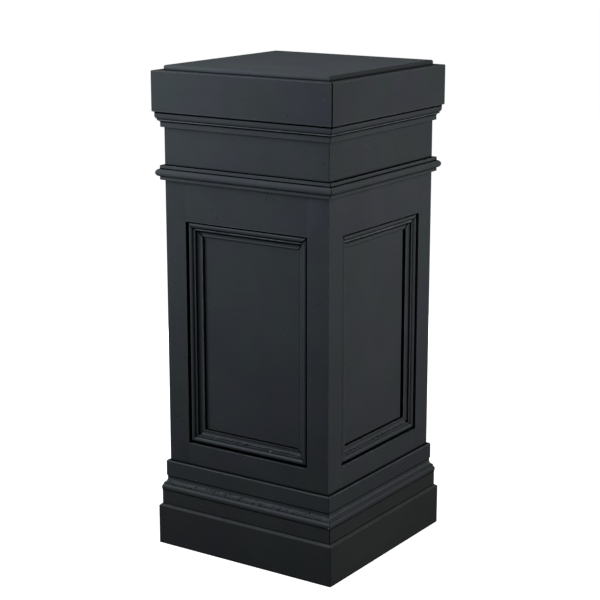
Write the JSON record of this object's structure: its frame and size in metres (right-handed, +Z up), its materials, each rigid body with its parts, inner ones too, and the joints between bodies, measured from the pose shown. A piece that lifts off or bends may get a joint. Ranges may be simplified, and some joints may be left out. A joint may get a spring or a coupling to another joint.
{
  "type": "pedestal column stand",
  "caption": "Tall square display pedestal in painted wood: boxed cap, frieze, astragal, framed shaft with moulded recessed panels, and a stepped moulded plinth.",
  "frame": {"origin": "centre of the square footprint, at floor level", "axes": "+Z up along the column's axis; -Y out of the front face and +X out of the right face, all four faces being alike"},
  "size_m": [0.4, 0.4, 0.9355],
  "materials": {
    "top_paint": "satin dark slate paint on a wood board",
    "cap_paint": "satin dark slate paint, brushed along the boards",
    "frame_paint": "satin dark slate paint, brushed along the boards",
    "panel_paint": "satin dark slate paint on a flat sheet",
    "moulding_paint": "satin dark slate paint, slightly rubbed on the high lines",
    "plinth_paint": "satin dark slate paint with small specks of wear",
    "inner_softwood": "bare planed softwood",
    "inner_plywood": "bare plywood",
    "screw_steel": "zinc-plated steel"
  },
  "bodies": {
    "root": {"astragal_back": "moulding_paint", "astragal_front": "moulding_paint", "astragal_left": "moulding_paint", "astragal_right": "moulding_paint", "base_board_back": "plinth_paint", "base_board_front": "plinth_paint", "base_board_left": "plinth_paint", "base_board_right": "plinth_paint", "base_moulding_back": "moulding_paint", "base_moulding_front": "moulding_paint", "base_moulding_left": "moulding_paint", "base_moulding_right": "moulding_paint", "bed_moulding_back": "moulding_paint", "bed_moulding_front": "moulding_paint", "bed_moulding_left": "moulding_paint", "bed_moulding_right": "moulding_paint", "bottom_rail_back": "frame_paint", "bottom_rail_front": "frame_paint", "bottom_rail_left": "frame_paint", "bottom_rail_right": "frame_paint", "cap_board_back": "cap_paint", "cap_board_front": "cap_paint", "cap_board_left": "cap_paint", "cap_board_right": "cap_paint", "carcass_bottom": "inner_plywood", "carcass_top": "inner_plywood", "corner_post_back_left": "inner_softwood", "corner_post_back_right": "inner_softwood", "corner_post_front_left": "inner_softwood", "corner_post_front_right": "inner_softwood", "frieze_board_back": "frame_paint", "frieze_board_front": "frame_paint", "frieze_board_left": "frame_paint", "frieze_board_right": "frame_paint", "left_stile_back": "frame_paint", "left_stile_front": "frame_paint", "left_stile_left": "frame_paint", "left_stile_right": "frame_paint", "panel_back": "panel_paint", "panel_front": "panel_paint", "panel_left": "panel_paint", "panel_moulding_back": "moulding_paint", "panel_moulding_front": "moulding_paint", "panel_moulding_left": "moulding_paint", "panel_moulding_right": "moulding_paint", "panel_right": "panel_paint", "plinth_board_back": "plinth_paint", "plinth_board_front": "plinth_paint", "plinth_board_left": "plinth_paint", "plinth_board_right": "plinth_paint", "right_stile_back": "frame_paint", "right_stile_front": "frame_paint", "right_stile_left": "frame_paint", "right_stile_right": "frame_paint", "top_board": "top_paint", "top_rail_back": "frame_paint", "top_rail_front": "frame_paint", "top_rail_left": "frame_paint", "top_rail_right": "frame_paint", "top_screws": "screw_steel"}
  },
  "joints": []
}
